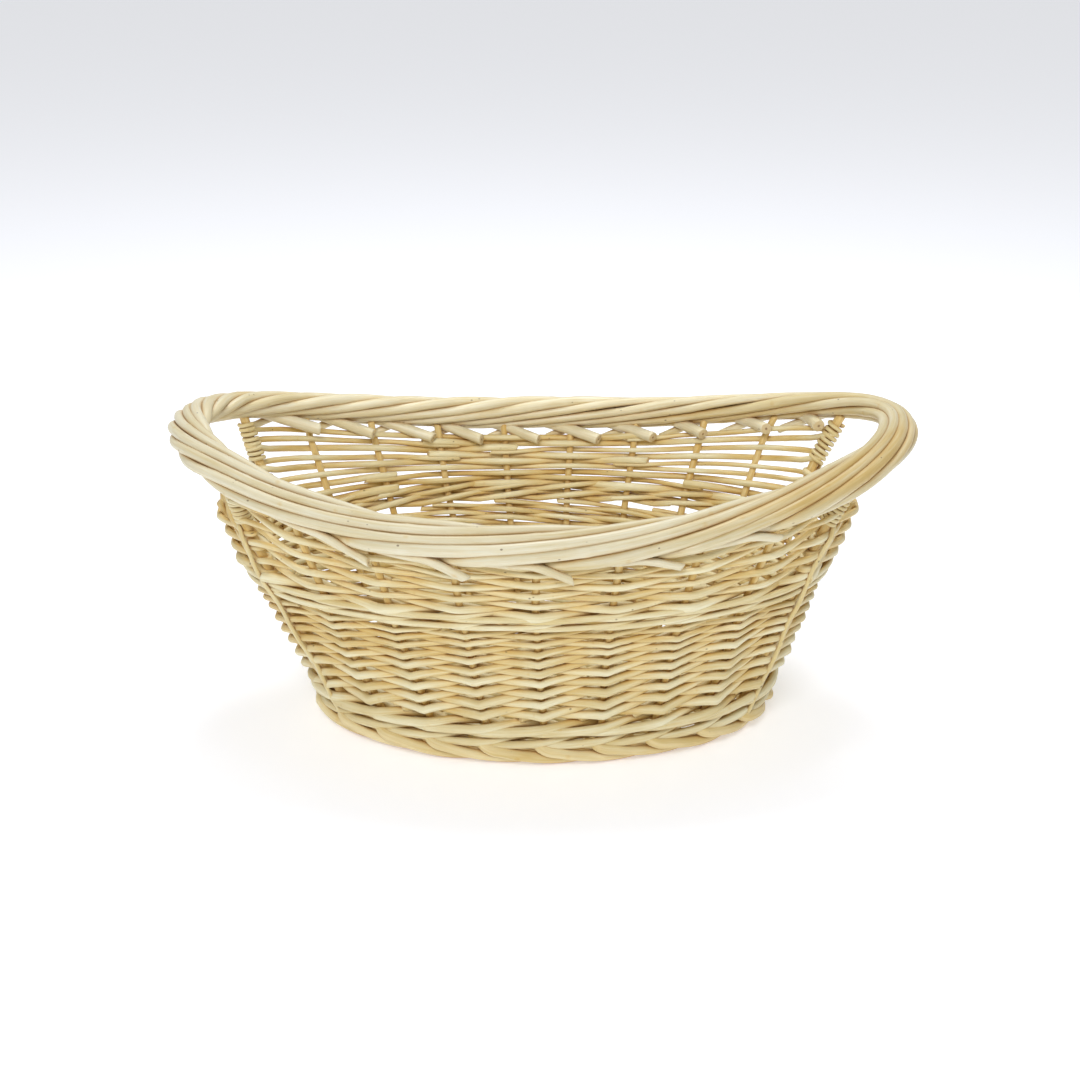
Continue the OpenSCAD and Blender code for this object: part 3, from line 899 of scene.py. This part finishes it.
def foot_border(rng):
    """Each stake's rod turns down, runs to the right and passes under the ones after it."""
    foot_r, taper_from, tip_share = 3.6 * MM, 1.6, 0.75
    place, offset, height = zip(*FOOT_LINE)
    for k in range(STAKES):
        m = np.linspace(place[0], place[-1], 120)
        d = curve_through(m, place, offset) * MM
        r = foot_r * rng.uniform(0.88, 1.06) * np.interp(m, [0, taper_from, place[-1]], [1, 1, tip_share])
        z = curve_through(m, place, height) * MM + wander(rng, m, 0.7, 0.3 * MM)
        z = np.maximum(z, r * 1.04)
        n = k + m
        obj = rod(f"foot_rod_{k + 1:02d}", rng, wall_point(n, z, d, level=True), r,
                  rng.uniform(0.2, 0.9), sides=12, cuts=(15, 40),
                  painted_shade=wall_painted_shade(n, WALL_T / 2 + 2 * MM))
        finish_piece(obj, "foot_rods", "foot_border")


# --- Rim ---


def rim_painted_shade(n):
    """Painted shade for a rim rod: deepest where its surface faces the middle of the bundle."""

    def painted_shade(share, verts):
        place = np.interp(share, np.linspace(0, 1, len(n)), n)
        centre, long_way, short_way = rim_axes(place)
        away = verts - centre[:, None, :]
        x = np.sum(away * long_way[:, None, :], -1) / BUNDLE_LONG
        y = np.sum(away * short_way[:, None, :], -1) / BUNDLE_SHORT
        return 1 - smooth(np.hypot(x, y), 0.45, 0.95)

    return painted_shade


def bundle_path(n, p, scale):
    """Line round the rim bundle at angle p in degrees. The two sine terms keep lanes with even
    steps of p evenly spaced round the oval section."""
    q = np.radians(p - 10.2 * np.sin(np.radians(2 * p)) + 2.2 * np.sin(np.radians(4 * p)))
    centre, long_way, short_way = rim_axes(n)
    a = (BUNDLE_LONG - LANE_R) * scale * np.sin(q)
    b = (BUNDLE_SHORT - LANE_R) * scale * np.cos(q)
    return centre + a[:, None] * long_way + b[:, None] * short_way


def rim_entries():
    """The turns of the rope, in lanes, at which a rod comes in. None comes in over a hand-hole."""
    found = []
    for lane in range(RIM_LANES * RIM_TURNS):
        n = place_of_twist((lane + ENTRY_SHIFT) * LANE_TURN)
        at_back = POSTS["back_right"] + HOLE_GAP < n < POSTS["back_left"]
        at_front = POSTS["front_left"] + HOLE_GAP < n < POSTS["front_right"]
        if at_back or at_front:
            found.append(lane)
    return found


def rim_rods(rng):
    """Each rod starts as a cut butt inside the wall, passes under the bundle to the outside, and
    winds round it with the other lanes. Where a newer rod takes its lane it comes down outside,
    and is cut to a peg."""
    butt_run, back_painted_light_tone, front_tone = 3, 0.5, 0.85
    entries = rim_entries()
    circuit = RIM_LANES * RIM_TURNS
    for count, lane in enumerate(entries):
        until = lane + RIM_LANES
        while until % circuit not in entries:
            until += RIM_LANES
        start = place_of_twist((lane + ENTRY_SHIFT) * LANE_TURN)
        end = place_of_twist((until + ENTRY_SHIFT) * LANE_TURN)
        lap = math.floor(end / STAKES) * STAKES
        post_before = POSTS["back_right" if start < POSTS["back_left"] else "front_left"]
        post_after = lap + POSTS["back_left" if end - lap < POSTS["back_left"] else "front_right"]
        n = places(start + BODY_START, end - BODY_END, RING_STEP)
        p = ENTRY_TURN + twist(n) - twist(start) + wander(rng, n, 2.0, 4)
        body = bundle_path(n, p, 1 + wander(rng, n, 1.5, 0.03))
        butt_n = max(start - BUTT_SPACE * rng.uniform(0.9, 1.1), post_before + POST_GAP)
        peg_n = min(end - PEG_SPACE + rng.uniform(-0.06, 0.06), post_after - POST_GAP)
        butt = wall_point(butt_n, rim_underside(butt_n) - BUTT_DROP, -BUTT_INSET, level=True)
        peg = wall_point(peg_n, rim_underside(peg_n) - PEG_DROP, PEG_OFFSET, level=True)
        butt_arm = bend(butt, body[0], body[0] - body[1], BUTT_REACH)
        peg_arm = bend(peg, body[-1], body[-1] - body[-2], PEG_REACH)[::-1]
        path = np.concatenate([butt_arm[:-1], body, peg_arm[1:]])
        full_n = np.concatenate([
            np.linspace(butt_n, n[0], len(butt_arm))[:-1], n,
            np.linspace(n[-1], peg_n, len(peg_arm))[1:],
        ])
        radius_places = [butt_n, start + butt_run, n[-1], peg_n]
        r = rng.uniform(0.96, 1.1) * np.interp(full_n, radius_places, [BUTT_R, BODY_R, TAIL_R, PEG_R])
        # Painted light: rods that join at the back get paler tones, to brighten the back of the rim.
        tone = rng.uniform(0.0, back_painted_light_tone if start < POSTS["back_left"] else front_tone)
        obj = rod(f"rim_rod_{count + 1:02d}", rng, path, r, tone, sides=14, cuts=(12, 38),
                  painted_shade=rim_painted_shade(full_n))
        finish_piece(obj, "rim_rods", f"rim_rod_{count + 1}")


def bend(end, joint, way, reach):
    """Curve from end to joint that arrives along way, mostly straight at its free end."""
    control = joint + way / np.linalg.norm(way) * reach
    u = np.linspace(0, 1, 24)[:, None]
    return end * (1 - u) ** 2 + control * 2 * u * (1 - u) + joint * u**2


# --- Base ---


CROSS_STICKS = 7
CROSS_PITCH = 28 * MM
CROSS_STICK_R = 3.0 * MM
LONG_PITCH = 6.2 * MM
LONG_STICK_R = 2.4 * MM
LONG_REACH = 0.985
BASE_ROW_R = 1.95 * MM
BASE_ROW_PITCH = 2.06


def base_sticks(rng, a, b, z):
    """Three long sticks threaded through seven cross sticks, in an oval of half-widths a and b."""
    for j in (-1, 0, 1):
        x = np.linspace(-a * LONG_REACH, a * LONG_REACH, 80)
        path = np.stack([x, np.full_like(x, j * LONG_PITCH), np.full_like(x, z)], -1)
        obj = rod(f"base_long_stick_{j + 2}", rng, path, np.full(len(x), LONG_STICK_R),
                  rng.uniform(0.3, 0.8))
        finish_piece(obj, "base_sticks", "base_long_sticks")
    for i in range(CROSS_STICKS):
        x = (i - CROSS_STICKS // 2) * CROSS_PITCH
        reach = b * math.sqrt(1 - (x / a) ** 2)
        y = np.linspace(-reach, reach, 60)
        path = np.stack([np.full_like(y, x), y, np.full_like(y, z)], -1)
        obj = rod(f"base_cross_stick_{i + 1}", rng, path, np.full(len(y), CROSS_STICK_R),
                  rng.uniform(0.3, 0.8))
        finish_piece(obj, "base_sticks", "base_cross_sticks")


def base_rows(rng, a, b, z):
    """Straight rows woven over and under the cross sticks, from the long sticks out to the foot."""
    first = LONG_PITCH + LONG_STICK_R + BASE_ROW_R + 0.2 * MM
    rows = math.floor((b - first) / (BASE_ROW_PITCH * BASE_ROW_R))
    for side in (-1, 1):
        for row in range(rows):
            y0 = first + row * (b - first - BASE_ROW_R) / rows
            reach = a * math.sqrt(1 - (y0 / b) ** 2) - 1 * MM
            x = np.linspace(-reach, reach, max(20, round(2 * reach / RING_STEP)))
            weave = np.cos(np.pi * (x / CROSS_PITCH + row + (side > 0)))
            height = z + (CROSS_STICK_R - 0.9 * MM) * np.clip(1.5 * weave, -1, 1)
            y = side * (y0 + wander(rng, x, 30 * MM, 0.25 * MM))
            obj = rod(f"base_row_{'back' if side > 0 else 'front'}_{row + 1:02d}", rng,
                      np.stack([x, y, height], -1), np.full(len(x), BASE_ROW_R),
                      rng.uniform(0.2, 0.8), sides=8)
            finish_piece(obj, "base_weave", "base_weave")


def base(rng):
    low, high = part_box("base_weave")
    oval = high.x, high.y, (low.z + high.z) / 2
    base_sticks(rng, *oval)
    base_rows(rng, *oval)


# --- Stage, light and camera ---


FLOOR_HALF = 6.0
FLOOR_COLOUR = (0.83, 0.855, 0.93, 1)
FLOOR_GLOW = 0.40
WHITE = (1, 1, 1, 1)

# The surroundings: strength at the horizon and overhead, and the height at which they meet.
SKY_HORIZON, SKY_TOP, SKY_MEET = 0.95, 0.38, 0.2

# Camera: lens and sensor in millimetres, shift in picture widths, and where it looks from.
LENS = 68.3
SENSOR = 36
SHIFT_X, SHIFT_Y = -0.00324, 0.0324
DISTANCE = 1.368
ELEVATION = math.radians(21.4)
AIM_HEIGHT = 0.092


def stage():
    mesh = bpy.data.meshes.new("floor")
    h = FLOOR_HALF
    mesh.from_pydata([(-h, -h, 0), (h, -h, 0), (h, h, 0), (-h, h, 0)], [], [(0, 1, 2, 3)])
    floor = bpy.data.objects.new("floor", mesh)
    bpy.context.scene.collection.objects.link(floor)
    mat = bpy.data.materials.new("floor_white")
    mat.use_nodes = True
    shader = mat.node_tree.nodes["Principled BSDF"]
    shader.inputs["Base Color"].default_value = FLOOR_COLOUR
    shader.inputs["Roughness"].default_value = 0.9
    shader.inputs["Emission Color"].default_value = WHITE
    shader.inputs["Emission Strength"].default_value = FLOOR_GLOW
    floor.data.materials.append(mat)


def surroundings():
    """White surroundings, brightest at the horizon."""
    world = bpy.data.worlds.new("studio")
    world.use_nodes = True
    nodes, links = world.node_tree.nodes, world.node_tree.links
    direction = nodes.new("ShaderNodeTexCoord")
    parts = nodes.new("ShaderNodeSeparateXYZ")
    links.new(direction.outputs["Generated"], parts.inputs[0])
    strength = nodes.new("ShaderNodeMapRange")
    links.new(parts.outputs["Z"], strength.inputs["Value"])
    strength.inputs["From Max"].default_value = SKY_MEET
    strength.inputs["To Min"].default_value = SKY_HORIZON
    strength.inputs["To Max"].default_value = SKY_TOP
    background = nodes["Background"]
    background.inputs["Color"].default_value = WHITE
    links.new(strength.outputs[0], background.inputs["Strength"])
    bpy.context.scene.world = world


def lamps():
    """A soft key lamp in front, a lamp above the back, and a small fill for the inside of the back."""
    area_light("key", (-0.45, -2.75, 2.45), (0, 0, 0.1), 1.2, 46)
    area_light("top", (0, 0.55, 1.7), (0, 0, 0.12), 0.8, 14)
    fill = area_light("fill", (0, -0.06, 0.27), (0, 0.15, 0.19), 0.34, 0.085)
    fill.data.shape = "RECTANGLE"
    fill.data.size_y = 0.04
    fill.data.spread = math.radians(120)
    fill.visible_camera = False


def area_light(name, place, aim, size, power):
    """A round lamp at place that points at aim. size is in metres and power in watts."""
    light = bpy.data.lights.new(name, "AREA")
    light.shape = "DISK"
    light.size = size
    light.energy = power
    obj = bpy.data.objects.new(name, light)
    bpy.context.scene.collection.objects.link(obj)
    obj.location = place
    way = Vector(np.array(aim) - np.array(place))
    obj.rotation_euler = way.to_track_quat("-Z", "Y").to_euler()
    return obj


def camera():
    data = bpy.data.cameras.new("camera")
    data.lens = LENS
    data.sensor_width = SENSOR
    data.shift_x = SHIFT_X
    data.shift_y = SHIFT_Y
    obj = bpy.data.objects.new("camera", data)
    bpy.context.scene.collection.objects.link(obj)
    height = AIM_HEIGHT + DISTANCE * math.sin(ELEVATION)
    obj.location = (0, -DISTANCE * math.cos(ELEVATION), height)
    obj.rotation_euler = (math.pi / 2 - ELEVATION, 0, 0)
    bpy.context.scene.camera = obj


def main():
    bpy.context.scene.view_settings.view_transform = "Standard"
    lower_siding(random.Random(11))
    wale(random.Random(12), "upsett_rod", ("upsett_wale", "upsett_wale"), FOOT_TOP - 1.5 * MM,
         UPSETT_TOP, r=3.0 * MM, climb=7.0 * MM)
    wale(random.Random(13), "mid_wale_rod", ("mid_wale_lower", "mid_wale_upper"), LOWER_TOP,
         MID_TOP, r=2.25 * MM, climb=5.0 * MM)

    back_right, back_left, front_left, front_right = POSTS.values()
    for side, first, last in (("back", back_right, back_left), ("front", front_left, front_right)):
        panel(random.Random(20 + first), f"upper_weaver_{side}", f"upper_siding_{side}", first, last,
              rows=9, top=below_rim, row_r=2.2 * MM, rod_spaces=8)
    next_right = back_right + STAKES
    for side, first, last in (("left", back_left, front_left), ("right", front_right, next_right)):
        panel(random.Random(30 + first), f"end_weaver_{side}", f"end_siding_{side}", first, last,
              rows=8, top=hand_hole_edge, row_r=2.4 * MM, rod_spaces=9)
    stakes(random.Random(14))
    post_wraps(random.Random(15))
    foot_border(random.Random(16))
    rim_rods(random.Random(17))
    base(random.Random(18))
    stage()
    surroundings()
    lamps()
    camera()


main()
